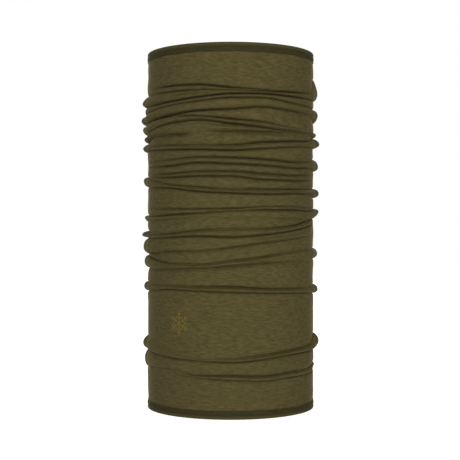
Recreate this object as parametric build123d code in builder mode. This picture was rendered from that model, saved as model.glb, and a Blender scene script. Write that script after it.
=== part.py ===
from build123d import *
from math import cos, radians, sin, sqrt
import os

# A neck gaiter: one tube of light knitted wool, gathered into rolls, with its raw edge bound at each end.
# Millimetres, +Z up. The origin is on the tube's axis, in the plane that the bottom hem rests on.
# The wearer's front is towards -Y. The printed mark is on that side, to the left of its middle.

# Overall sizes
gaiter_height = 340.0  # from end to end, as it stands gathered
tube_radius = 80.0  # outer face of the cloth where it lies smooth

# Cloth
cloth_thickness = 0.8  # relaxed jersey with its nap

# Hem: a strip folded over the raw edge, with one layer against the cloth outside and one inside
binding_thickness = 0.8  # each layer of the strip
binding_height = 8.7  # reach of the strip from the end of the gaiter
binding_fold = 1.2  # from the end of the gaiter to the raw edge of the cloth inside the strip
edge_radius = 0.7  # rounding where the strip turns over the end
lip_radius = 0.25  # rounding of the strip's two free edges

# Coverstitch of each hem: two needle lines outside, one looper thread between them inside
thread_thickness = 0.35
thread_sink = 0.2  # depth that a needle thread pulls into the strip
needle_inset = 1.9  # from the end of the gaiter to the middle of the nearer needle line
needle_gap = 4.8  # between the middles of the two needle lines

# Gathered rolls, from the bottom up: place along the wall between the hems as a share of it,
# height of the roll where it leaves the wall, and how far it stands out
rolls = [
    (0.120, 12.5, 4.0),
    (0.172, 13.5, 5.5),
    (0.330, 8.0, 4.5),
    (0.437, 13.5, 4.0),
    (0.488, 7.5, 5.5),
    (0.550, 11.5, 5.0),
    (0.630, 9.5, 5.5),
    (0.696, 10.0, 4.5),
    (0.762, 8.5, 5.5),
    (0.800, 8.0, 4.5),
    (0.842, 12.0, 5.5),
    (0.910, 16.0, 4.5),
]

# Printed mark: a six-armed snow crystal on the smooth cloth between two rolls
mark_azimuth = radians(-36)  # from the front, negative to the left
mark_radius = 11.0
mark_line = 1.2  # width of each printed line
mark_thickness = 0.12
mark_roll = 1  # the mark stands above this roll, counted from 0
mark_rise = 0.2  # share of the spare height between the rolls that is left below the mark
mark_branches = [(0.40, 3.6), (0.68, 2.8)]  # place along an arm as a share of it, and length
arm_count = 6
branch_angle = 60

# Places that follow from the sizes
cloth_inner_radius = tube_radius - cloth_thickness
cloth_top = gaiter_height - binding_fold
wall_length = gaiter_height - 2 * binding_height
binding_outer_radius = tube_radius + binding_thickness
binding_inner_radius = cloth_inner_radius - binding_thickness
needle_radius = binding_outer_radius - thread_sink + thread_thickness / 2
looper_radius = binding_inner_radius + thread_thickness / 2
looper_height = needle_gap + thread_thickness
stitch_middle = needle_inset + needle_gap / 2

# Each hem's profile is drawn from the end of the gaiter inwards, so the top one's plane points down
hem_planes = {
    "bottom": Plane.XZ,
    "top": Plane(origin=(0, 0, gaiter_height), x_dir=(1, 0, 0), z_dir=(0, 1, 0)),
}


def roll_middle(share):
    """Height of a roll's middle."""
    return binding_height + share * wall_length


os.makedirs("parts", exist_ok=True)

# Cloth tube: each roll is an arc outside and a concentric arc inside, one cloth thickness apart
with BuildPart() as knit_tube:
    with BuildSketch(Plane.XZ):
        with BuildLine():
            outside = (tube_radius, binding_fold)
            inside = (cloth_inner_radius, binding_fold)
            Line(outside, inside)
            for share, height, lift in rolls:
                middle = roll_middle(share)
                arc_radius = (height**2 / 4 + lift**2) / (2 * lift)
                half_outside = height / 2
                half_inside = sqrt(lift * (2 * (arc_radius - cloth_thickness) - lift))
                foot = (tube_radius, middle - half_outside)
                crest = (tube_radius + lift, middle)
                head = (tube_radius, middle + half_outside)
                Line(outside, foot)
                ThreePointArc(foot, crest, head)
                outside = head
                foot = (cloth_inner_radius, middle - half_inside)
                crest = (cloth_inner_radius + lift, middle)
                head = (cloth_inner_radius, middle + half_inside)
                Line(inside, foot)
                ThreePointArc(foot, crest, head)
                inside = head
            Line(outside, (tube_radius, cloth_top))
            Line(inside, (cloth_inner_radius, cloth_top))
            Line((tube_radius, cloth_top), (cloth_inner_radius, cloth_top))
        make_face()
    revolve(axis=Axis.Z)
knit_tube.part.label = "knit_tube"
export_step(knit_tube.part, "parts/knit_tube.step")

for end, hem_plane in hem_planes.items():
    # Binding: a U round the raw edge, grooved where the stitches pull in
    with BuildPart() as edge_binding:
        with BuildSketch(hem_plane) as section:
            with Locations((binding_inner_radius, 0)):
                hem_width = binding_outer_radius - binding_inner_radius
                Rectangle(hem_width, binding_height, align=(Align.MIN, Align.MIN))
            fillet(section.vertices().group_by(Axis.Y)[0], edge_radius)
            fillet(section.vertices().group_by(Axis.Y)[-1], lip_radius)
            with Locations((cloth_inner_radius, binding_fold)):
                slot_height = binding_height - binding_fold
                slot_align = (Align.MIN, Align.MIN)
                Rectangle(cloth_thickness, slot_height, align=slot_align, mode=Mode.SUBTRACT)
            with Locations((needle_radius, stitch_middle)):
                with GridLocations(0, needle_gap, 1, 2):
                    Rectangle(thread_thickness, thread_thickness, mode=Mode.SUBTRACT)
            with Locations((looper_radius, stitch_middle)):
                Rectangle(thread_thickness, looper_height, mode=Mode.SUBTRACT)
        revolve(axis=Axis.Z)
    edge_binding.part.label = f"{end}_edge_binding"
    export_step(edge_binding.part, f"parts/{end}_edge_binding.step")

    # Needle thread: the two lines of stitches outside
    with BuildPart() as needle_thread:
        with BuildSketch(hem_plane):
            with Locations((needle_radius, stitch_middle)):
                with GridLocations(0, needle_gap, 1, 2):
                    Rectangle(thread_thickness, thread_thickness)
        revolve(axis=Axis.Z)
    needle_thread.part.label = f"{end}_needle_thread"
    export_step(needle_thread.part, f"parts/{end}_needle_thread.step")

    # Looper thread: the zigzag that covers the strip between the needle lines inside, as one flat ring
    with BuildPart() as looper_thread:
        with BuildSketch(hem_plane):
            with Locations((looper_radius, stitch_middle)):
                Rectangle(thread_thickness, looper_height)
        revolve(axis=Axis.Z)
    looper_thread.part.label = f"{end}_looper_thread"
    export_step(looper_thread.part, f"parts/{end}_looper_thread.step")

# Printed mark: the crystal is pushed out from the axis and only the skin of ink on the cloth is kept
share_below, height_below, lift_below = rolls[mark_roll]
share_above, height_above, lift_above = rolls[mark_roll + 1]
clear_from = roll_middle(share_below) + height_below / 2
clear_to = roll_middle(share_above) - height_above / 2
spare_height = clear_to - clear_from - 2 * mark_radius
mark_middle = clear_from + mark_rise * spare_height + mark_radius
mark_plane = Plane(
    origin=(0, 0, mark_middle),
    x_dir=(cos(mark_azimuth), sin(mark_azimuth), 0),
    z_dir=(sin(mark_azimuth), -cos(mark_azimuth), 0),
)
with BuildPart() as printed_mark:
    with BuildSketch(mark_plane):
        with PolarLocations(0, arm_count, start_angle=90):
            Rectangle(mark_radius, mark_line, align=(Align.MIN, Align.CENTER))
            for place, length in mark_branches:
                for angle in (-branch_angle, branch_angle):
                    with Locations(Location((place * mark_radius, 0, 0), (0, 0, angle))):
                        Rectangle(length, mark_line, align=(Align.MIN, Align.CENTER))
    extrude(amount=tube_radius + mark_thickness)
    with BuildSketch(Plane.XY.offset(mark_middle - mark_radius)):
        Circle(tube_radius + mark_thickness)
        Circle(tube_radius, mode=Mode.SUBTRACT)
    extrude(amount=2 * mark_radius, mode=Mode.INTERSECT)
printed_mark.part.label = "printed_mark"
export_step(printed_mark.part, "parts/printed_mark.step")
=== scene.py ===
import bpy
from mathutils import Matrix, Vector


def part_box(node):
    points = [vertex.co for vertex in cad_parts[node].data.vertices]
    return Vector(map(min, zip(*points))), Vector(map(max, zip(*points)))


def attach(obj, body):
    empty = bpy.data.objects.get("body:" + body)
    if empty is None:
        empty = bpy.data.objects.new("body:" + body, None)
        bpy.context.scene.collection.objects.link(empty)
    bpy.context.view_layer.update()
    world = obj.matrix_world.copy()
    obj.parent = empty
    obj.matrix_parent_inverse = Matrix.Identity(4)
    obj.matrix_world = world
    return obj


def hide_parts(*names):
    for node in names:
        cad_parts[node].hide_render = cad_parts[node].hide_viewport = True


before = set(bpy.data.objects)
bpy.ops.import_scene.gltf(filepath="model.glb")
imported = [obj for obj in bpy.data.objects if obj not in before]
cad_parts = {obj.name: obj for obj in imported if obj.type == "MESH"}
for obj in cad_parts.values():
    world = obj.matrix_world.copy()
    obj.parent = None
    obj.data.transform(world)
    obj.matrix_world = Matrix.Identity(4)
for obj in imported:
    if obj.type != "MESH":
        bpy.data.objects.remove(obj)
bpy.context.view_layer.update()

import bpy
import numpy as np
from math import pi, radians, tau

# Sizes are in millimetres up to the moment a mesh is made, and azimuths in degrees from the front,
# positive towards +X. The frame's boxes give the height, the radius and the hems.
mm = 0.001
rng = np.random.default_rng(11)
stripStandsOut = 0.8  # the frame's hem strip, past the cloth
hemLow, hemHigh = (np.array(corner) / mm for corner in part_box("bottom_edge_binding"))
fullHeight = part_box("top_edge_binding")[1][2] / mm
hemReach = hemHigh[2] - hemLow[2]
wallRadius = hemHigh[0] - stripStandsOut
print(f"frame: wall radius {wallRadius:.1f}, height {fullHeight:.1f}, hem {hemReach:.1f} mm")


def srgb(hexText):
    # a hex colour turned to linear light
    parts = np.array([int(hexText[i:i + 2], 16) for i in (0, 2, 4)]) / 255
    linear = np.where(parts <= 0.04045, parts / 12.92, ((parts + 0.055) / 1.055) ** 2.4)
    return (*linear.tolist(), 1.0)


def addNode(tree, kind, inputs=None, **properties):
    # one node with its settings; an input that is a socket is linked, anything else is set
    node = tree.nodes.new("ShaderNode" + kind)
    for key, value in properties.items():
        setattr(node, key, value)
    for key, value in (inputs or {}).items():
        if isinstance(value, bpy.types.NodeSocket):
            tree.links.new(value, node.inputs[key])
        else:
            node.inputs[key].default_value = value
    return node


def newMaterial(name):
    material = bpy.data.materials.new(name)
    material.use_nodes = True
    tree = material.node_tree
    shader = tree.nodes["Principled BSDF"]
    return material, tree, shader


def onCylinder(azimuth, radius, height):
    # azimuth 0 faces -Y and grows towards +X
    angle = np.radians(azimuth)
    return np.stack([radius * np.sin(angle), -radius * np.cos(angle), height + 0 * radius], axis=-1)


def closedCurve(stations, values, azimuth):
    # closed curve through the stations: cubic between neighbours, level wherever the values turn back
    x = np.array(stations, float)
    y = np.array(values, float)
    x = np.concatenate([x[-2:] - 360, x, x[:2] + 360])
    y = np.concatenate([y[-2:], y, y[:2]])
    slope = np.diff(y) / np.diff(x)
    before, after = slope[:-1], slope[1:]
    same = before * after > 0
    tangent = np.where(same, 2 * before * after / np.where(same, before + after, 1), 0)
    tangent = np.concatenate([[0], tangent, [0]])
    k = np.searchsorted(x, azimuth, side="right") - 1
    step = x[k + 1] - x[k]
    t = (azimuth - x[k]) / step
    rise = y[k + 1] - y[k]
    curve = y[k] + rise * t * t * (3 - 2 * t)
    bend = t * (1 - t) * ((1 - t) * tangent[k] - t * tangent[k + 1])
    return curve + step * bend


def makeObject(name, points, faces, material, uv=None):
    # points in millimetres; uv holds one pair for each face corner, in the faces' order
    mesh = bpy.data.meshes.new(name)
    mesh.from_pydata((np.asarray(points).reshape(-1, 3) * mm).tolist(), [], faces)
    mesh.polygons.foreach_set("use_smooth", np.ones(len(mesh.polygons), bool))
    if uv is not None:
        layer = mesh.uv_layers.new(name="cloth")
        layer.data.foreach_set("uv", np.asarray(uv, np.float32).ravel())
    mesh.materials.append(material)
    mesh.update()
    piece = bpy.data.objects.new(name, mesh)
    bpy.context.collection.objects.link(piece)
    return piece


def ringFaces(rows, columns, closedRows=False):
    # quads of a grid that closes round its columns, facing outwards when rows go up
    r = np.arange(rows if closedRows else rows - 1)[:, None]
    c = np.arange(columns)[None, :]
    up = (r + 1) % rows
    on = (c + 1) % columns
    corners = np.stack([r * columns + c, r * columns + on, up * columns + on, up * columns + c], axis=-1)
    return corners.reshape(-1, 4)


# The cloth tube, one sheet gathered into rolls
cloth = {
    "columns": 144,
    "rowSpacing": 1.0,  # along the cloth in a fold
    "flatSpacing": 1.9,  # along the cloth between folds
    "thickness": 0.8,
    "innerSkip": 4,  # outer columns to each inner one: the inside is hardly seen
    "hemInset": 1.2,  # from the gaiter's end to the cloth's raw edge
    "creaseDepth": 3.0,  # of a crease whose tuck is 1, beside a fold that stands well out
    "creaseWidth": 0.88,
    "liftShare": 1.9,  # cloth that a fold takes up for each millimetre it stands out
    "creaseLift": 1.1,  # a fold that stands out less has shallower creases
    "leastGap": 0.3,  # between neighbouring edges of folds
    "stations": (-180, -135, -86, -68, -45, -22, 0, 22, 45, 68, 86, 135),
}

# Folds from the bottom up. For each station: low edge, high edge and how far the fold stands out.
# sharp: how abruptly the low and the high edge leave the wall, 0.5 a tuck, 1 a corner, 2 a soft start.
# tuckLow, tuckHigh: how deep the crease along each edge pulls in. spread: how wide the creases are.
# hang: how far the crest droops, as a share of its lift. One number where it is the same all round.
folds = [
    {"low": (37.5, 36.5, 36.5, 37.5, 38, 37, 35.4, 34.1, 35.5, 35.8, 38.5, 37.5),
     "high": (41.5, 38.5, 38.5, 39.5, 40.5, 38.7, 39.2, 37.9, 39.8, 40.5, 44.3, 42.5),
     "lift": (2, 0.6, 0, 0, 0.2, 1, 1.6, 1.9, 1.7, 1.2, 1, 1.5),
     "tuckLow": (0.8, 0.8, 1, 0.5, 1, 1, 1, 1, 1, 0.6, 1, 0.8),
     "tuckHigh": (0.8, 0.8, 1, 0.5, 1, 1, 1, 1, 1, 0.6, 1, 0.8),
     "sharp": (0.5, 0.6), "hang": 0.5},
    {"low": (42.5, 41.5, 39.5, 42.5, 43, 39.3, 39.7, 38.5, 40.5, 41.5, 44.8, 43.5),
     "high": (52.5, 56, 55.8, 55.5, 53.3, 52, 51.3, 53.4, 56.1, 56.5, 55, 51.5),
     "lift": (4.5, 5, 3.4, 2, 1.8, 1.2, 1, 1, 1, 0.6, 0, 2),
     "tuckLow": (0.32, 0.32, 0.14, 0.15, 0.4, 0.4, 0.4, 0.4, 0.4, 0.24, 0.4, 0.32),
     "tuckHigh": (0.16, 0.16, 0.07, 0.07, 0.2, 0.2, 0.2, 0.2, 0.2, 0.12, 0.2, 0.16),
     "sharp": (0.8, 0.9), "hang": (0.2, 0.2, -0.05, 0.2, 0.2, 0.2, 0.2, 0.2, 0.2, 0.2, 0.2, 0.2)},
    {"low": (54.5, 57.5, 56.5, 55.9, 53.7, 52.3, 51.5, 53.7, 56.5, 57.1, 56.5, 53.5),
     "high": (66.5, 68.5, 69.5, 67.3, 59.5, 54.5, 54.9, 57.2, 60, 62, 72, 67.5),
     "lift": (5, 4, 4.7, 1, 1.2, 0.9, 1.4, 1.8, 2.2, 2.6, 5.4, 4.5),
     "tuckLow": (0.64, 0.56, 0.21, 0.15, 0.4, 0.5, 0.8, 1, 1, 0.41, 0.28, 0.64),
     "tuckHigh": (0.4, 0.4, 0.1, 0.04, 0.2, 0.2, 0.4, 0.8, 1.1, 0.83, 0.28, 0.48),
     "sharp": (0.5, 1), "hang": (0.2, 0.1, -0.3, 0.2, 0.4, 0.5, 0.5, 0.5, 0.4, 0.1, -0.45, 0)},
    {"low": (112.5, 110.5, 112.3, 114.1, 116.2, 115.4, 114.5, 113.7, 112.7, 112, 110, 109.5),
     "high": (119.5, 119.5, 121.5, 118.5, 119.3, 118.9, 119.1, 117.1, 116.3, 115.9, 118.9, 117.5),
     "lift": (4.5, 3.8, 3.8, 1.6, 1.3, 1.4, 1.8, 1.8, 1.6, 1.9, 4.2, 3.5),
     "tuckLow": (0.8, 0.8, 0.35, 0.38, 1, 1, 1, 1, 1, 0.45, 0.35, 0.8),
     "tuckHigh": (0.64, 0.56, 0.24, 0.26, 0.5, 0.9, 1.5, 1.3, 1, 0.36, 0.24, 0.56),
     "sharp": (0.5, 0.5), "hang": (0.4, 0.4, 0.05, 0.4, 0.4, 0.4, 0.4, 0.4, 0.4, 0.4, 0.2, 0.4)},
    {"low": (136.5, 132.5, 134.5, 134.3, 134.9, 135.5, 137.7, 140.3, 140.9, 141.6, 143.5, 142.5),
     "high": (146.5, 144.5, 147, 143.7, 139.7, 139.1, 142.5, 145.9, 150.1, 152.1, 153.7, 152.5),
     "lift": (3.5, 4.8, 3.6, 2.1, 1.8, 1.3, 1.7, 1.9, 1.3, 1.5, 3.6, 4),
     "tuckLow": (0.8, 0.8, 0.35, 0.38, 1, 1, 1.2, 1.3, 0.5, 0.15, 0.28, 0.72),
     "tuckHigh": (0.64, 0.64, 0.32, 1.3, 0.7, 0.9, 0.9, 1.2, 0.6, 0.41, 0.28, 0.64),
     "sharp": (0.7, 0.5), "hang": 0.4, "spread": (1.9, 1)},
    {"low": (151.5, 148.5, 148.1, 149.1, 150.9, 151.3, 154.5, 158.7, 162.3, 166, 170, 164.5),
     "high": (162.5, 161.5, 162.5, 162.7, 163.5, 164.9, 163.9, 166, 169.6, 174.2, 179.1, 169.5),
     "lift": (3, 5, 3.7, 1.9, 1.6, 1.1, 1.1, 1.3, 1.2, 0.8, 0, 1),
     "tuckLow": (0.48, 0.48, 0.21, 0.3, 1, 0.8, 1, 1.1, 1, 0.3, 0.1, 0.48),
     "tuckHigh": (0.24, 0.24, 0.1, 0.22, 0.3, 0.3, 0.3, 0.3, 0.3, 0.18, 0.3, 0.24),
     "sharp": (0.6, 0.9), "hang": (0.1, 0.1, -0.15, 0.1, 0.1, 0.1, 0.1, 0.1, 0.1, 0.1, 0.1, 0.1),
     "spread": (1.3, 1)},
    {"low": (164, 163, 163.5, 163.1, 163.9, 165.3, 164.3, 166.4, 170, 174.6, 179.5, 170.5),
     "high": (171.5, 170.5, 170, 165.7, 166.7, 169.8, 171.3, 171.7, 174, 179.2, 180.6, 175.5),
     "lift": (3.5, 4, 5.7, 1.9, 1.3, 1.5, 1.7, 1.7, 1.7, 1, 0, 1.5),
     "tuckLow": (0.8, 0.8, 0.35, 0.75, 1, 1, 0.9, 1, 1, 0.5, 0.1, 0.72),
     "tuckHigh": (0.72, 0.72, 0.35, 0.45, 1.1, 1.1, 0.8, 0.9, 1.3, 1.7, 0.1, 0.72),
     "sharp": (0.5, 0.6), "hang": (0.4, 0.4, 0, 0.4, 0.4, 0.4, 0.4, 0.4, 0.4, 0.4, 0.4, 0.4)},
    {"low": (179.5, 177.5, 178.5, 179.5, 180.5, 182, 181.5, 181, 180.5, 181, 181.4, 181.5),
     "high": (187.5, 185.5, 185, 182.9, 183.9, 185.7, 187.7, 188.7, 188.5, 187.7, 191.3, 191.5),
     "lift": (3.5, 4, 3, 1.4, 1.2, 0.7, 0.6, 0.8, 1.3, 1.8, 5, 5),
     "tuckLow": (0.32, 0.32, 0.14, 0.15, 0.4, 0.4, 0.4, 0.4, 0.4, 0.5, 0.3, 0.32),
     "tuckHigh": (0.8, 0.8, 0.42, 0.56, 1.5, 1.1, 0.8, 0.7, 0.8, 0.5, 0.21, 0.64),
     "sharp": (1.2, 0.5), "hang": 0},
    {"low": (188.5, 186.5, 185.5, 184.5, 185.5, 186.3, 188.1, 189.1, 189.1, 188.5, 192.5, 192.5),
     "high": (189.5, 187.5, 186.5, 190.5, 189.7, 189.5, 189.9, 191.5, 192, 191.3, 193.5, 193.5),
     "lift": (0, 0, 0, 0.5, 1, 1, 1.1, 1.3, 1.3, 1, 0, 0),
     "tuckLow": (0.16, 0.16, 0.2, 0.1, 0.2, 0.2, 0.2, 0.6, 0.8, 0.5, 0.2, 0.16),
     "tuckHigh": (0.96, 0.96, 1.2, 0.6, 1.2, 1.2, 1.2, 0.8, 0.7, 0.5, 1.2, 0.96),
     "sharp": (0.6, 0.6), "hang": 0.2, "spread": (2, 0.8)},
    {"low": (206.5, 210.5, 211.9, 210.9, 209.4, 205.8, 204, 203.2, 204.3, 204.9, 201.5, 202.5),
     "high": (216.5, 220.5, 221.5, 216.9, 212.1, 209.1, 206.7, 206.9, 207.6, 208.3, 210.5, 212.5),
     "lift": (4, 4.6, 3.9, 1.5, 1.2, 1.5, 1.6, 1.6, 1.6, 2.1, 5.4, 4.5),
     "tuckLow": (0.8, 0.8, 0.39, 0.45, 1.4, 1.4, 1.4, 1.3, 1.3, 0.75, 0.32, 0.72),
     "tuckHigh": (0.72, 0.72, 0.35, 0.41, 0.8, 1.1, 1.2, 1.25, 1.25, 0.59, 0.32, 0.72),
     "sharp": (0.5, 0.5), "hang": (0.2, 0, -0.3, -0.1, 0.2, 0.3, 0.3, 0.3, 0.3, 0.3, 0, 0.3)},
    {"low": (220.5, 222.5, 222.5, 220.5, 219.2, 219.7, 219.3, 216.3, 216.2, 217.5, 219, 222.5),
     "high": (226.5, 225.5, 224, 222.3, 222.1, 223.2, 223.1, 221.1, 220.3, 221.5, 221.5, 226.5),
     "lift": (2.5, 1, 0, 0.4, 1.2, 1.5, 1.7, 1.7, 1.6, 0.7, 0, 0.5),
     "tuckLow": (1.04, 1.04, 1.3, 0.65, 1.69, 1.82, 1.69, 1.56, 1.56, 0.78, 0.4, 1.04),
     "tuckHigh": (1.52, 1.52, 1.9, 0.95, 1.33, 1.52, 1.71, 1.71, 1.52, 0.9, 0.4, 1.52),
     "sharp": (0.5, 0.6), "hang": 0.5},
    {"low": (228.5, 228.5, 228.5, 230.2, 229.7, 231.8, 230.3, 229.3, 228.1, 229.3, 227.5, 227.5),
     "high": (237.5, 234.5, 231.5, 233.5, 234.7, 236.4, 235.6, 234.3, 232.6, 234.3, 238.5, 237.5),
     "lift": (4, 1, 0, 0.5, 1.2, 1.7, 1.8, 1.6, 1.5, 1.9, 4.2, 4.6),
     "tuckLow": (0.96, 0.96, 1.2, 0.6, 1.56, 1.56, 1.44, 1.6, 1.6, 0.9, 0.42, 0.96),
     "tuckHigh": (0.8, 0.8, 1, 0.5, 0.8, 1, 1.35, 1.6, 1.44, 0.54, 0.35, 0.8),
     "sharp": (0.5, 0.6), "hang": (0.5, 0.5, 0.5, 0.5, 0.5, 0.5, 0.5, 0.5, 0.5, 0.5, 0.25, 0.5)},
    {"low": (246.5, 245.5, 247.5, 246.3, 244.7, 243.7, 242.5, 244.3, 247.1, 249.5, 250.5, 249.5),
     "high": (255.5, 253.5, 254.1, 248.7, 248.2, 247.1, 246.6, 249.7, 251.8, 253.9, 258.9, 258.5),
     "lift": (4.5, 4.8, 5, 1.9, 1.4, 1.5, 1.7, 1.7, 1.7, 2.3, 6.1, 5),
     "tuckLow": (0.8, 0.8, 0.39, 0.9, 1.3, 1.7, 1.7, 1.2, 0.9, 0.36, 0.28, 0.72),
     "tuckHigh": (0.72, 0.72, 0.32, 0.38, 0.9, 0.9, 1.5, 1.7, 1.7, 1.05, 0.35, 0.72),
     "sharp": (0.5, 0.5), "hang": (0.5, 0.5, 0.5, 0.5, 0.5, 0.5, 0.5, 0.5, 0.5, 0.5, 0.25, 0.5)},
    {"low": (256.5, 254.5, 253.5, 257.7, 257.5, 258.5, 258.9, 259.2, 260, 260.3, 258.5, 259.5),
     "high": (264.5, 261.5, 261.1, 263.9, 268.1, 267.5, 264.5, 262.5, 261.5, 261.7, 264.5, 265.5),
     "lift": (4, 4.4, 3.8, 1.5, 1.2, 0.9, 1.6, 1.4, 0.8, 0.9, 2.5, 3),
     "tuckLow": (0.64, 0.64, 0.32, 0.75, 0.7, 0.4, 1.5, 1.6, 1.4, 0.41, 0.24, 0.56),
     "tuckHigh": (0.16, 0.16, 0.07, 0.07, 0.2, 0.3, 0.6, 0.3, 0.2, 0.09, 0.07, 0.16),
     "sharp": (0.9, 0.5), "hang": 0.3, "spread": (2.4, 1)},
    {"low": (265.5, 262.5, 261.7, 264.5, 268.9, 270.5, 266.7, 263.8, 261.9, 262.1, 265.5, 266.5),
     "high": (272.5, 271.5, 270.5, 272.5, 275.1, 273.7, 270.5, 268, 264.7, 264.1, 267, 270.5),
     "lift": (4, 5, 3.4, 2.2, 1.8, 1.5, 1.7, 1.5, 1.1, 0.7, 0, 1.5),
     "tuckLow": (0.64, 0.64, 0.24, 0.38, 0.9, 1.6, 1.8, 1.4, 0.6, 0.3, 0.5, 0.48),
     "tuckHigh": (0.64, 0.64, 0.32, 0.3, 0.8, 0.9, 1.6, 1.1, 0.5, 0.24, 0.4, 0.48),
     "sharp": (0.5, 0.7), "hang": (0.3, 0.1, -0.4, 0.2, 0.5, 0.5, 0.5, 0.5, 0.5, 0.4, 0.3, 0.3)},
    {"low": (273.5, 272.5, 271.5, 273.5, 276.2, 278.7, 279.5, 281.9, 280.1, 278.9, 273.5, 272.5),
     "high": (283.5, 282.5, 280.5, 281.8, 284.7, 287.1, 289.5, 289.8, 286.5, 285.3, 286.5, 285.5),
     "lift": (4.5, 5, 4.9, 2.5, 2, 1.6, 1.5, 1.5, 1.8, 2.1, 4.4, 5.2),
     "tuckLow": (0.8, 0.8, 0.42, 1.05, 1.9, 1.8, 1.5, 1.2, 1, 0.36, 0.28, 0.72),
     "tuckHigh": (0.4, 0.4, 0.17, 0.1, 0.25, 0.45, 0.6, 0.5, 0.5, 0.27, 0.21, 0.48),
     "sharp": (0.9, 0.5), "hang": 0.2},
    {"low": (284.5, 283, 280.7, 282.2, 285, 287.4, 289.9, 290.3, 287.3, 286.5, 287.5, 286.5),
     "high": (290.5, 288.5, 288.8, 287.5, 288.5, 290.8, 293.2, 293.7, 293.3, 293.7, 294.4, 291.5),
     "lift": (3, 3, 2.6, 1.4, 1.1, 1, 1.2, 1.3, 1.2, 1, 0.4, 1),
     "tuckLow": (0.16, 0.16, 0.07, 0.05, 0.1, 0.15, 0.2, 0.2, 0.2, 0.12, 0.2, 0.16),
     "tuckHigh": (0.8, 0.8, 0.35, 0.75, 1.1, 1.2, 1.2, 1.2, 1.1, 0.54, 0.8, 0.72),
     "sharp": (0.6, 0.5), "hang": 0.2},
    {"low": (291.5, 289.5, 291.6, 288.1, 288.9, 291.2, 293.6, 294.1, 293.7, 294.2, 295.6, 293.5),
     "high": (302.5, 298.5, 299.4, 297.1, 297.4, 297.4, 296.5, 296.4, 297.3, 298.9, 315.6, 310.5),
     "lift": (4.8, 4.6, 5.6, 2.3, 1.8, 1.5, 1.2, 1.2, 1.6, 1.9, 3.8, 5),
     "tuckLow": (0.24, 0.24, 0.1, 0.11, 0.3, 0.3, 0.3, 0.3, 0.3, 0.13, 0.1, 0.24),
     "tuckHigh": (0.64, 0.64, 0.32, 0.2, 0.6, 0.45, 0.3, 1.3, 1.4, 0.45, 0.21, 0.56),
     "sharp": (0.5, 0.9), "hang": (0.4, 0.4, 0.4, 0.4, 0.4, 0.4, 0.4, 0.4, 0.4, 0.3, -0.1, 0.2)},
    {"low": (305.5, 301.5, 298.5, 298.3, 297.9, 297.7, 297.2, 296.6, 298.5, 302.5, 316.5, 313.5),
     "high": (310.5, 304.5, 302.5, 302.7, 302.7, 302, 298.8, 297.6, 300.5, 305.5, 318.5, 316.5),
     "lift": (1.5, 0, 0, 0.2, 1.4, 1.4, 1, 0.5, 0, 0, 0, 0),
     "tuckLow": (0.16, 0.16, 0.2, 0.1, 0.2, 0.2, 0.2, 0.2, 0.2, 0.12, 0.2, 0.16),
     "tuckHigh": (0.48, 0.48, 0.6, 0.35, 1.44, 1.5, 1.7, 1.5, 0.3, 0.18, 0.3, 0.24),
     "sharp": (0.6, 0.7), "hang": 0.4},
]

# Short creases off the folds: points of azimuth and height, rise (below 0 is a furrow) and half width.
wrinkleFade = 8  # degrees over which each end of a wrinkle dies out
wrinkles = [
    {"path": ((-62, 109.4), (-42, 110.2), (-26, 110.1), (-16, 109.5)), "rise": -1.6, "width": 1.2},
    {"path": ((-16, 265.6), (-2, 266.4), (10, 265.8)), "rise": -1.4, "width": 1.4},
    {"path": ((-78, 158.6), (-60, 160), (-44, 159.6)), "rise": -1.9, "width": 1.5},
    {"path": ((-76, 150.8), (-60, 148.4), (-50, 146)), "rise": -2.2, "width": 1.3},
    {"path": ((-50, 292.6), (-37, 293.9), (-26, 295), (-10, 295.4)), "rise": -2.2, "width": 1},
    {"path": ((4, 142.6), (25, 144.2), (42, 145.8)), "rise": -1.7, "width": 0.9},
    {"path": ((12, 162), (25, 163.9), (46, 167.2), (60, 170.2)), "rise": -1.8, "width": 1},
    {"path": ((-88, 254.5), (-80, 256.2), (-70, 258.8), (-56, 259), (-42, 258), (-26, 257.2)), "rise": -3,
     "width": 1.1},
    {"path": ((28, 154.6), (46, 158), (62, 160.6)), "rise": -1.5, "width": 1.1},
    {"path": ((36, 226.4), (46, 225.7), (58, 225)), "rise": -1.4, "width": 1},
]

# Where a roll comes round from the side it slips behind the flatter front: a short upright furrow, which
# lies at this azimuth on either side and grows with the fold's lift beyond it.
nip = {"azimuth": 80, "half": 3, "depth": 0.45, "beyond": 88.0}

# Where rolls crowd together the wall between them stands out too, over a broad patch.
crowds = [
    {"azimuth": -100, "reach": 45, "height": 271, "half": 9, "rise": 1.6},
    {"azimuth": -100, "reach": 40, "height": 163, "half": 5, "rise": 0.8},
]

# The shallow waves of a loose knit, added up.
slack = {
    "waves": 14,
    "around": (1, 6),  # whole cycles round the tube, from 1 up to 5
    "period": (16, 46),  # from wave to wave along the tube
    "share": 3.7,  # about the root of their number, which evens out the sum
    "rise": 0.30,
    "ease": 14,  # from the hem to their full height
}
smoothBand = {"low": 72, "high": 98, "soft": 8}  # the heights that carry the mark, with no waves


def atStations(value, azimuth):
    # a number that is the same all round, or one for each station
    return closedCurve(cloth["stations"], value, azimuth) if isinstance(value, tuple) else value


def bell(distance, width, power=2):
    # 1 at no distance and near 0 past the width, with a flatter top at a higher power
    return np.exp(-(distance / width) ** power)


def foldEdges(azimuth):
    # the two edges of every fold, between the cloth's own ends, in order from the bottom
    edges = [0 * azimuth + cloth["hemInset"]]
    for fold in folds:
        edges += [atStations(fold["low"], azimuth), atStations(fold["high"], azimuth)]
    edges = np.array([*edges, 0 * azimuth + fullHeight - cloth["hemInset"]])
    spacer = cloth["leastGap"] * np.arange(len(edges))[:, None]  # keeps every strip open, and in order
    return np.maximum.accumulate(edges - spacer, axis=0) + spacer


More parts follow.
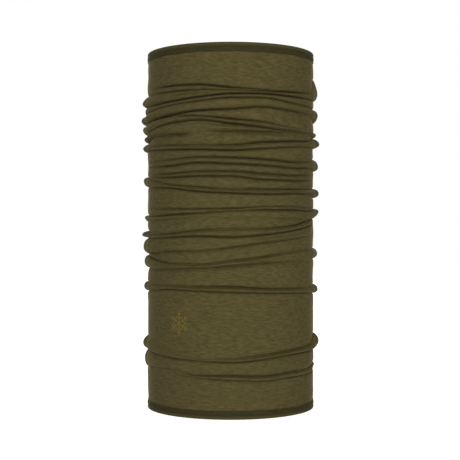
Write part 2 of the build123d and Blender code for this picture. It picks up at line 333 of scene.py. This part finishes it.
def foldRows(fold, low, high, lift, azimuth):
    # the wall leaves the cylinder by lift * (1+t)^a (1-t)^b over its peak, t from -1 at the low edge to 1
    length = np.percentile(high - low + cloth["liftShare"] * lift, 90)
    count = max(6, int(np.ceil(length / cloth["rowSpacing"])))
    t = -np.cos(np.linspace(0, pi, count + 1))[:-1, None]
    a, b = fold["sharp"]
    crest = (a - b) / (a + b)
    peak = (1 + crest) ** a * (1 - crest) ** b
    swell = (1 + t).clip(0) ** a * (1 - t).clip(0) ** b / peak
    droop = atStations(fold["hang"], azimuth) * lift * swell
    return (low + high) / 2 + (high - low) / 2 * t - droop, wallRadius + lift * swell


def flatRows(low, high, isLast):
    # a smooth stretch of wall, with rows closer together near the creases at its ends
    count = max(3, 2 + int(np.ceil(np.percentile(high - low, 90) / cloth["flatSpacing"])))
    t = 0.5 - 0.5 * np.cos(np.linspace(0, pi, count + 1))[:, None]
    t = t if isLast else t[:-1]
    height = low + (high - low) * t
    return height, wallRadius + 0 * height


def nipSides(radius, height, azimuth, fold, low, high):
    # the furrow on either side, over the fold's own height
    within = bell(height - (low + high) / 2, 0.5 * (high - low) + 0.5, 4)
    for side in (-1, 1):
        beyond = closedCurve(cloth["stations"], fold["lift"], np.array([side * nip["beyond"]])).clip(0)
        radius = radius - nip["depth"] * beyond * bell(azimuth - side * nip["azimuth"], nip["half"]) * within
    return radius


def pressCrease(radius, height, edge, tuck, spread, lift):
    # the crease along one edge of a fold, deeper where the fold stands out more
    depth = cloth["creaseDepth"] * tuck * (lift / cloth["creaseLift"]).clip(0, 1)
    return radius - depth * bell(height - edge, cloth["creaseWidth"] * spread)


def addWrinkle(radius, height, azimuth, wrinkle):
    # a ridge or a furrow along a bent path, dying out at both ends
    at, level = np.array(wrinkle["path"], float).T
    path = np.interp(azimuth, at, level)
    fade = ((azimuth - at[0]) / wrinkleFade).clip(0, 1) * ((at[-1] - azimuth) / wrinkleFade).clip(0, 1)
    return radius + wrinkle["rise"] * fade * bell(height - path, wrinkle["width"])


def addCrowd(radius, height, azimuth, crowd):
    around = (azimuth - crowd["azimuth"] + 180) % 360 - 180
    patch = bell(around, crowd["reach"]) * bell(height - crowd["height"], crowd["half"], 4)
    return radius + crowd["rise"] * patch


def clothSurface():
    # rows follow the folds: a stack of strips, one for each fold and one for each flat stretch between
    azimuth = np.arange(cloth["columns"]) * 360 / cloth["columns"] - 180
    edges = foldEdges(azimuth)
    lifts = [atStations(fold["lift"], azimuth).clip(0) for fold in folds]
    strips = [flatRows(edges[0], edges[1], False)]
    for k, fold in enumerate(folds):
        low, high, above = edges[2 * k + 1:2 * k + 4]
        strips.append(foldRows(fold, low, high, lifts[k], azimuth))
        strips.append(flatRows(high, above, fold is folds[-1]))
    height = np.vstack([rows for rows, _ in strips])
    radius = np.vstack([rows for _, rows in strips])
    for k, fold in enumerate(folds):
        radius = nipSides(radius, height, azimuth, fold, edges[2 * k + 1], edges[2 * k + 2])
    for k, fold in enumerate(folds):
        spreads = fold.get("spread", (1, 1))
        for side, name in enumerate(("tuckLow", "tuckHigh")):
            tuck = atStations(fold[name], azimuth)
            radius = pressCrease(radius, height, edges[2 * k + 1 + side], tuck, spreads[side], lifts[k])
    for wrinkle in wrinkles:
        radius = addWrinkle(radius, height, azimuth, wrinkle)
    for crowd in crowds:
        radius = addCrowd(radius, height, azimuth, crowd)
    return azimuth, radius, height


def markBand(height):
    # 1 inside the band of heights that carries the mark, easing to 0 outside it
    rise = ((height - smoothBand["low"] + smoothBand["soft"]) / smoothBand["soft"]).clip(0, 1)
    fall = ((smoothBand["high"] + smoothBand["soft"] - height) / smoothBand["soft"]).clip(0, 1)
    return rise * fall


def addSlack(azimuth, radius, height):
    # sine waves round and along the tube, none at the hems or behind the mark
    angle = np.radians(azimuth)[None, :]
    waves = 0 * radius
    for _ in range(slack["waves"]):
        around = rng.integers(*slack["around"])
        period = rng.uniform(*slack["period"])
        phase = rng.uniform(0, tau)
        waves = waves + np.sin(around * angle + tau * height / period + phase) / slack["share"]
    fromHem = np.minimum(height - hemReach, fullHeight - hemReach - height)
    ease = (fromHem / slack["ease"]).clip(0, 1)
    return radius + slack["rise"] * waves * ease * (1 - markBand(height))


def drawnIn(height):
    # how far the hem's seam pulls the wall in: all of it at the hem, easing out beyond it
    fromEnd = np.minimum(height, fullHeight - height)
    return 0.5 * hem["drawIn"] * (1 + np.cos(pi * ((fromEnd - hemReach) / hem["easeOut"]).clip(0, 1)))


def faceNormals(grid):
    # outward normals of a grid of points that closes round its columns
    acrossRows = np.gradient(grid, axis=0)
    around = (np.roll(grid, -1, axis=1) - np.roll(grid, 1, axis=1)) / 2
    normal = np.cross(around, acrossRows)
    return normal / np.linalg.norm(normal, axis=-1, keepdims=True)


def gridUv(columns, along):
    # across the faces of a closed grid: U is the share of the way round, V the metres along the cloth
    r = np.arange(len(along) - 1)[:, None] + 0 * np.arange(columns)[None, :]
    c = np.arange(columns)[None, :] + 0 * r
    u = np.stack([c, c + 1, c + 1, c], axis=-1) / columns
    v = along[np.stack([r, r, r + 1, r + 1], axis=-1)] * mm
    return np.stack([u, v], axis=-1).reshape(-1, 4, 2)


def clothRim(row, rows, columns, flip):
    # closes one end of the cloth: fans between the outer face's edge and the inner face's fewer points
    skip = cloth["innerSkip"]
    innerColumns = columns // skip
    c = np.arange(innerColumns)
    p = rows * columns + row * innerColumns + c
    q = rows * columns + row * innerColumns + (c + 1) % innerColumns
    edge = [row * columns + (skip * c + k) % columns for k in range(skip + 1)]
    fans = [(edge[k], p if k < skip / 2 else q, edge[k + 1]) for k in range(skip)]
    fans.append((edge[(skip + 1) // 2], p, q))
    triangles = np.concatenate([np.stack(fan, axis=1) for fan in fans])
    return triangles[:, ::-1] if flip else triangles


def makeCloth(material):
    azimuth, radius, height = clothSurface()
    radius = addSlack(azimuth, radius, height) - drawnIn(height)
    outer = onCylinder(azimuth[None, :], radius, height)
    # the cloth's own stiffness rounds each crease
    outer[1:-1] = (outer[:-2] + 2 * outer[1:-1] + outer[2:]) / 4
    inner = (outer - cloth["thickness"] * faceNormals(outer))[:, ::cloth["innerSkip"]]
    rows, columns = outer.shape[:2]
    innerColumns = inner.shape[1]
    step = np.linalg.norm(np.diff(outer, axis=0), axis=-1).mean(axis=1)
    along = np.concatenate([[0], np.cumsum(step)])
    innerFaces = ringFaces(rows, innerColumns)[:, ::-1] + rows * columns
    rims = np.concatenate([clothRim(0, rows, columns, False), clothRim(rows - 1, rows, columns, True)])
    faces = ringFaces(rows, columns).tolist() + innerFaces.tolist() + rims.tolist()
    uvOuter = gridUv(columns, along).reshape(-1, 2)
    uvInner = gridUv(innerColumns, along)[:, ::-1].reshape(-1, 2)
    uv = np.concatenate([uvOuter, uvInner, np.zeros((rims.size, 2))])
    points = np.concatenate([outer.reshape(-1, 3), inner.reshape(-1, 3)])
    piece = makeObject("gathered_tube", points, faces, material, uv)
    print(f"cloth: {rows} rows, {len(faces)} faces, {along[-1]:.0f} mm along the cloth")
    return piece, along[-1]


# Each hem: the folded strip, its stitches outside and its looper thread inside
hem = {
    "columns": 320,
    "strip": 0.55,  # its thickness where the stitches press it flat
    "needleInset": 3,
    "needleGap": 3.9,
    "stitches": 168,  # round the hem, 3 mm apart
    "threadRadius": 0.24,
    "pull": 0.4,  # how far a line of stitches draws the strip in
    "short": {"bottom": 0.8, "top": 0.2},  # how far the strip's outer edge stays back
    "crown": 0.2,  # how far the strip swells between its lines
    "drawIn": 0.35,  # how far the tight seam narrows the tube at its ends
    "easeOut": 8,  # how far past the hem the tube takes to widen again
    "groove": 0.55,  # half width of the dent along a line of stitches
    "stitchShare": 0.92,  # of the distance from one stitch to the next
    "stitchRise": 0.06,  # of a stitch's middle, past the strip round it
    "stitchSink": 0.1,  # of its two ends
    "dent": 0.05,  # of each stitch in the strip round it
    "unlevel": ((5, 0.10, 1), (11, 0.08, 2), (23, 0.05, 0)),  # waves round the hem, depth and start
    "looperRadius": 0.192,
    "looperSwing": 0.45,  # along the hem, as a share of a stitch
    "looperSink": 0.02,  # of its middle, into the strip's inner face
    "looperWave": 0.06,  # in and out of the strip, twice for each stitch
}


def stripProfile(reach):
    # the folded strip's middle line and its outward direction, from the outer lip round the raw edge
    half = hem["strip"] / 2
    bend = half + cloth["thickness"] / 2
    middle = wallRadius - cloth["thickness"] / 2
    down = np.linspace(reach - half, bend + half, 22)
    turn = np.linspace(0, pi, 13)[1:-1]
    outer = np.stack([middle + bend + 0 * down, down], axis=1)
    fold = np.stack([middle + bend * np.cos(turn), bend + half - bend * np.sin(turn)], axis=1)
    inner = np.stack([middle - bend + 0 * down, down[::-1]], axis=1)
    line = np.concatenate([outer, fold, inner])
    tangent = np.gradient(line, axis=0)
    tangent = tangent / np.linalg.norm(tangent, axis=1, keepdims=True)
    outward = np.stack([-tangent[:, 1], tangent[:, 0]], axis=1)
    return line, outward


def stripSwell(depth):
    # outer face of the strip: drawn in at the two needle lines, crowned between them
    middle = hem["needleInset"] + hem["needleGap"] / 2
    fromMiddle = np.abs(depth - middle)
    groove = np.exp(-((fromMiddle - hem["needleGap"] / 2) / hem["groove"]) ** 2)
    crown = (1 - (fromMiddle / (hem["needleGap"] / 2)) ** 2).clip(0)
    return hem["crown"] * crown - hem["pull"] * groove


def stripLoop(line, outward):
    # the strip's whole outline: its outer face, a lip, its inner face and the other lip
    half = hem["strip"] / 2
    isOuter = outward[:, 0] > 0.5
    isInner = outward[:, 0] < -0.5
    puff = stripSwell(line[:, 1]) * (isOuter + 0.5 * isInner)
    outside = line + outward * (half + puff)[:, None]
    inside = line - outward * half
    turn = np.linspace(0, pi, 5)[1:-1, None]
    away = np.array([[0, 1]]) * np.sin(turn)
    lastLip = line[-1] + half * (outward[-1] * np.cos(turn) + away)
    firstLip = line[0] + half * (away - outward[0] * np.cos(turn))
    return np.concatenate([outside, lastLip, inside[::-1], firstLip])


def makeStrip(end, line, outward, reach, material):
    # the outline carried round the tube; the top one is the bottom one turned over
    loop = stripLoop(line, outward)
    columns = hem["columns"]
    angle = np.radians(np.arange(columns) * 360 / columns - 180)
    share = (loop[:, 1:2] / reach).clip(0, 1)
    # a sewn edge is never quite level, and every stitch dents the strip a little
    unlevel = sum(depth * np.sin(turns * angle + start) for turns, depth, start in hem["unlevel"])
    dents = hem["dent"] * np.cos(hem["stitches"] * angle)[None, :]
    isFront = (np.abs(share - 0.5) < 0.45) * (loop[:, 0:1] > wallRadius)
    radius = loop[:, 0:1] - hem["drawIn"] + dents * isFront
    height = loop[:, 1:2] + unlevel[None, :] * share ** 2
    faces = ringFaces(len(loop), columns, closedRows=True)
    lengths = np.linalg.norm(np.diff(np.vstack([loop, loop[:1]]), axis=0), axis=1)
    uv = gridUv(columns, np.concatenate([[0], np.cumsum(lengths)]))
    if end == "top":
        height = fullHeight - height
    else:
        faces, uv = faces[:, ::-1], uv[:, ::-1]
    points = onCylinder(np.degrees(angle)[None, :], radius, height)
    return makeObject(f"{end}_hem_strip", points, faces.tolist(), material, uv)


def makeHem(end, stripMaterial, stitchMaterial):
    reach = hemReach - hem["short"][end]
    line, outward = stripProfile(reach)
    flatWidth = np.linalg.norm(np.diff(line, axis=0), axis=1).sum() + hem["strip"]
    strip = makeStrip(end, line, outward, reach, stripMaterial)
    needle = makeNeedleThread(end, stitchMaterial)
    looper = makeLooperThread(end, stitchMaterial)
    return strip, needle, looper, flatWidth


def makeNeedleThread(end, material):
    # every stitch is a short bead that rises out of the strip and dives back in at its ends
    rings, sides = 6, 6
    stitch = np.arange(hem["stitches"])[:, None, None]
    share = np.linspace(0, 1, rings)[None, :, None]
    turn = (np.arange(sides) * tau / sides)[None, None, :]
    margin = (1 - hem["stitchShare"]) / 2
    azimuth = (stitch + margin + hem["stitchShare"] * share) * 360 / hem["stitches"] - 180 + 0 * turn
    arch = np.sin(pi * share)
    thick = hem["threadRadius"] * (0.55 + 0.45 * arch)
    surface = wallRadius + hem["strip"] - hem["pull"] - hem["drawIn"]
    sink = hem["stitchSink"] - (hem["stitchSink"] + hem["stitchRise"]) * arch
    radius = surface - sink + thick * np.cos(turn) + 0 * stitch
    points, faces = [], []
    for line in (0, 1):
        height = hem["needleInset"] + line * hem["needleGap"] + thick * np.sin(turn) + 0 * stitch
        if end == "top":
            height = fullHeight - height
        points.append(onCylinder(azimuth, radius, height).reshape(-1, 3))
        s = (stitch + line * hem["stitches"]) * rings * sides
        r = np.arange(rings - 1)[None, :, None] * sides
        c = np.arange(sides)[None, None, :]
        on = (c + 1) % sides
        quads = np.stack([s + r + c, s + r + sides + c, s + r + sides + on, s + r + on], axis=-1)
        quads = quads.reshape(-1, 4)
        first = s[:, 0] + c[0]
        last = first[:, ::-1] + (rings - 1) * sides
        if end == "top":
            quads, first, last = quads[:, ::-1], first[:, ::-1], last[:, ::-1]
        faces += quads.tolist() + first.tolist() + last.tolist()
    return makeObject(f"{end}_needle_stitches", np.concatenate(points), faces, material)


def makeLooperThread(end, material):
    # one thread that swings between the two needle lines inside the hem, once for each stitch
    sides, perStitch = 5, 10
    count = hem["stitches"] * perStitch
    share = np.arange(count) / count
    phase = share * hem["stitches"] * tau
    azimuth = share * 360 - 180 + hem["looperSwing"] * (360 / hem["stitches"]) * np.sin(2 * phase)
    level = hem["needleInset"] + hem["needleGap"] * (0.5 + 0.5 * np.cos(phase))
    inside = wallRadius - cloth["thickness"] - hem["strip"] - hem["drawIn"]
    radius = inside + hem["looperSink"] + hem["looperWave"] * np.cos(2 * phase)
    path = onCylinder(azimuth, radius, level)
    tangent = np.roll(path, -1, axis=0) - np.roll(path, 1, axis=0)
    tangent = tangent / np.linalg.norm(tangent, axis=1, keepdims=True)
    outward = onCylinder(azimuth, np.ones(count), np.zeros(count))
    side = np.cross(tangent, outward)
    side = side / np.linalg.norm(side, axis=1, keepdims=True)
    turn = np.arange(sides) * tau / sides
    spread = np.cos(turn)[:, None, None] * outward + np.sin(turn)[:, None, None] * side
    points = path[None] + hem["looperRadius"] * spread
    faces = ringFaces(sides, count, closedRows=True)
    if end == "top":
        points[..., 2] = fullHeight - points[..., 2]
    else:
        faces = faces[:, ::-1]
    return makeObject(f"{end}_looper_stitches", points, faces.tolist(), material)


# Yarn of two mixed shades gives the jersey short streaks along its courses.
knit = {
    "waleCount": 420,  # round the tube: 1.2 mm each, about twice the real spacing, as finer can't be seen
    "streakScale": 165.0,  # streaks about 6 mm long
    "streakTall": 5.0,  # how many times shorter they are across the courses
    "roughness": 0.92,
    "shine": 0.08,
    "sheenTint": "CCB87C",
    "sheenRoughness": 0.27,
}


def knitMaterial(name, light, dark, streakContrast, courseSpacing, sheen, paintedHighlight=None):
    # merino jersey, lightly brushed: matt, with paler stray fibres that catch the light at the edges
    material, tree, shader = newMaterial(name)
    place = addNode(tree, "TexCoord")
    split = addNode(tree, "SeparateXYZ", {"Vector": place.outputs["UV"]})
    body = addNode(tree, "SeparateXYZ", {"Vector": place.outputs["Object"]})
    # melange yarn: paler and darker lengths round the tube, a course or two tall
    streakPlace = addNode(tree, "CombineXYZ", {"X": body.outputs["X"], "Y": body.outputs["Y"]})
    tall = addNode(tree, "Math", {0: split.outputs["Y"], 1: knit["streakTall"]}, operation="MULTIPLY")
    tree.links.new(tall.outputs[0], streakPlace.inputs["Z"])
    streak = addNode(tree, "TexNoise", {"Vector": streakPlace.outputs[0], "Scale": knit["streakScale"],
                                        "Detail": 3.0, "Roughness": 0.6})
    spread = addNode(tree, "MapRange", {"Value": streak.outputs["Fac"], "From Min": 0.5 - streakContrast,
                                        "From Max": 0.5 + streakContrast})
    colour = addNode(tree, "Mix", {"Factor": spread.outputs[0], "A": srgb(dark), "B": srgb(light)},
                     data_type="RGBA")
    if paintedHighlight:  # painted highlight: a band along the folded edge is painted paler, standing in for the light that the fold's turn catches
        past = addNode(tree, "Math", {0: split.outputs["Y"], 1: paintedHighlight["centre"] * mm}, operation="SUBTRACT")
        away = addNode(tree, "Math", {0: past.outputs[0]}, operation="ABSOLUTE")
        highlightShare = addNode(tree, "MapRange", {"Value": away.outputs[0], "From Min": paintedHighlight["half"] * mm,
                                            "From Max": (paintedHighlight["half"] + paintedHighlight["soft"]) * mm,
                                            "To Min": 1.0, "To Max": 0.0})
        colour = addNode(tree, "Mix", {"Factor": highlightShare.outputs[0], "A": colour.outputs["Result"],
                                       "B": srgb(paintedHighlight["colour"])}, data_type="RGBA")
    # stocking stitch: columns of V shapes, which break up the light that grazes the cloth
    wale = addNode(tree, "Math", {0: split.outputs["X"], 1: knit["waleCount"]}, operation="MULTIPLY")
    arm = addNode(tree, "Math", {0: wale.outputs[0], 1: 0.5}, operation="PINGPONG")
    courses = 1 / (courseSpacing * mm)
    course = addNode(tree, "Math", {0: split.outputs["Y"], 1: courses}, operation="MULTIPLY")
    chevron = addNode(tree, "Math", {0: course.outputs[0], 1: arm.outputs[0]}, operation="ADD")
    loop = addNode(tree, "Math", {0: chevron.outputs[0], 1: 0.5}, operation="PINGPONG")
    stitch = addNode(tree, "Math", {0: loop.outputs[0], 1: arm.outputs[0]}, operation="MULTIPLY")
    fibre = addNode(tree, "TexNoise", {"Vector": place.outputs["Object"], "Scale": 2600.0, "Detail": 2.0})
    relief = addNode(tree, "Math", {0: stitch.outputs[0], 1: fibre.outputs["Fac"]}, operation="ADD")
    bump = addNode(tree, "Bump", {"Height": relief.outputs[0], "Strength": 0.35, "Distance": 0.0002})
    tree.links.new(colour.outputs["Result"], shader.inputs["Base Color"])
    tree.links.new(bump.outputs["Normal"], shader.inputs["Normal"])
    shader.inputs["Roughness"].default_value = knit["roughness"]
    shader.inputs["Specular IOR Level"].default_value = knit["shine"]
    shader.inputs["IOR"].default_value = 1.45
    shader.inputs["Sheen Weight"].default_value = sheen
    shader.inputs["Sheen Roughness"].default_value = knit["sheenRoughness"]
    shader.inputs["Sheen Tint"].default_value = srgb(knit["sheenTint"])
    return material


def grainedMaterial(name, light, dark, grainScale, detail, roughness):
    # a plain finish whose colour and relief follow one fine grain
    material, tree, shader = newMaterial(name)
    place = addNode(tree, "TexCoord")
    grain = addNode(tree, "TexNoise", {"Vector": place.outputs["Object"], "Scale": grainScale,
                                       "Detail": detail})
    bump = addNode(tree, "Bump", {"Height": grain.outputs["Fac"], "Strength": 0.3, "Distance": 0.0001})
    tint = addNode(tree, "Mix", {"Factor": grain.outputs["Fac"], "A": srgb(dark), "B": srgb(light)},
                   data_type="RGBA")
    tree.links.new(tint.outputs["Result"], shader.inputs["Base Color"])
    tree.links.new(bump.outputs["Normal"], shader.inputs["Normal"])
    shader.inputs["Roughness"].default_value = roughness
    shader.inputs["Specular IOR Level"].default_value = 0.2
    return material


jersey = knitMaterial("merino jersey", "443D22", "2E2915", 0.25, 1.1, 0.16)
# the hem strip's folded edge carries a painted highlight, a paler band of 332F18
hemJersey = knitMaterial("merino hem strip", "2B2814", "1F1C0C", 0.24, 0.9, 0.08,
                         {"centre": 7.7, "half": 2.0, "soft": 0.5, "colour": "332F18"})
# spun polyester: a little smoother than the wool round it, with a random grain whose dips are painted
# darker, painted shade in the gaps where its plies twist
polyester = grainedMaterial("spun polyester thread", "363118", "211E10", 1800.0, 2.0, 0.7)
# water-based textile print: sinks into the knit, so it is matt and broken by the stitches
ink = grainedMaterial("textile print", "4E4215", "3F350C", 900.0, 3.0, 0.8)

# The pieces, each in place of its plain one in the frame
tube, clothLength = makeCloth(jersey)
hems = {end: makeHem(end, hemJersey, polyester) for end in ("bottom", "top")}
print(f"hems: strips {hems['bottom'][3]:.1f} and {hems['top'][3]:.1f} mm wide before folding")
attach(tube, "root")
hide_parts("knit_tube")
for end, (strip, needle, looper, flatWidth) in hems.items():
    for piece in (strip, needle, looper):
        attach(piece, "root")
    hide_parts(f"{end}_edge_binding")
    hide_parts(f"{end}_needle_thread")
    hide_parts(f"{end}_looper_thread")
for slotItem in bpy.data.objects["printed_mark"].material_slots:
    slotItem.material = ink

# The stage: a lit white floor in a white surround, and two far, wide lights
stage = {
    "floor": 8.0,
    "floorGlow": 0.5,  # the floor is a light table
    "ambient": 0.14,
    "cameraDistance": 1.067,
    "cameraShift": (-0.0006, 0.0007),  # sideways and up, from level with the tube's middle
    "lens": 86.0,
}
lights = {
    "front light": {"azimuth": 4, "elevation": 20, "spread": 45, "strength": 4.65},
    "back light": {"azimuth": 188, "elevation": 25, "spread": 75, "strength": 2.6},
}
floorMesh = bpy.data.meshes.new("floor")
side = stage["floor"] / 2
corners = [(-side, -side, 0), (side, -side, 0), (side, side, 0), (-side, side, 0)]
floorMesh.from_pydata(corners, [], [(0, 1, 2, 3)])
floor = bpy.data.objects.new("floor", floorMesh)
bpy.context.collection.objects.link(floor)
paper, paperTree, paperShader = newMaterial("white backdrop paper")
paperShader.inputs["Base Color"].default_value = srgb("F9F9F9")
paperShader.inputs["Roughness"].default_value = 0.9
paperShader.inputs["Emission Color"].default_value = (1, 1, 1, 1)
paperShader.inputs["Emission Strength"].default_value = stage["floorGlow"]
floorMesh.materials.append(paper)

world = bpy.data.worlds.new("white surround")
world.use_nodes = True
bpy.context.scene.world = world
skyTree = world.node_tree
seen = addNode(skyTree, "LightPath")
strength = addNode(skyTree, "MapRange", {"Value": seen.outputs["Is Camera Ray"], "To Min": stage["ambient"],
                                         "To Max": 1.0})
sky = skyTree.nodes["Background"]
sky.inputs["Color"].default_value = (1, 1, 1, 1)
skyTree.links.new(strength.outputs[0], sky.inputs["Strength"])

for name, light in lights.items():
    lamp = bpy.data.lights.new(name, "SUN")
    lamp.angle = radians(light["spread"])
    lamp.energy = light["strength"]
    sun = bpy.data.objects.new(name, lamp)
    sun.rotation_euler = (radians(90 - light["elevation"]), 0, radians(light["azimuth"]))
    bpy.context.collection.objects.link(sun)

camera = bpy.data.cameras.new("camera")
camera.lens = stage["lens"]
camera.sensor_width = 36
eye = bpy.data.objects.new("camera", camera)
sideways, up = stage["cameraShift"]
eye.location = (sideways, -stage["cameraDistance"], fullHeight * mm / 2 + up)
eye.rotation_euler = (radians(90), 0, 0)
bpy.context.collection.objects.link(eye)
bpy.context.scene.camera = eye
bpy.context.scene.view_settings.view_transform = "Standard"
print(f"stage: {len(lights)} lights, camera {stage['cameraDistance']:.2f} m away")
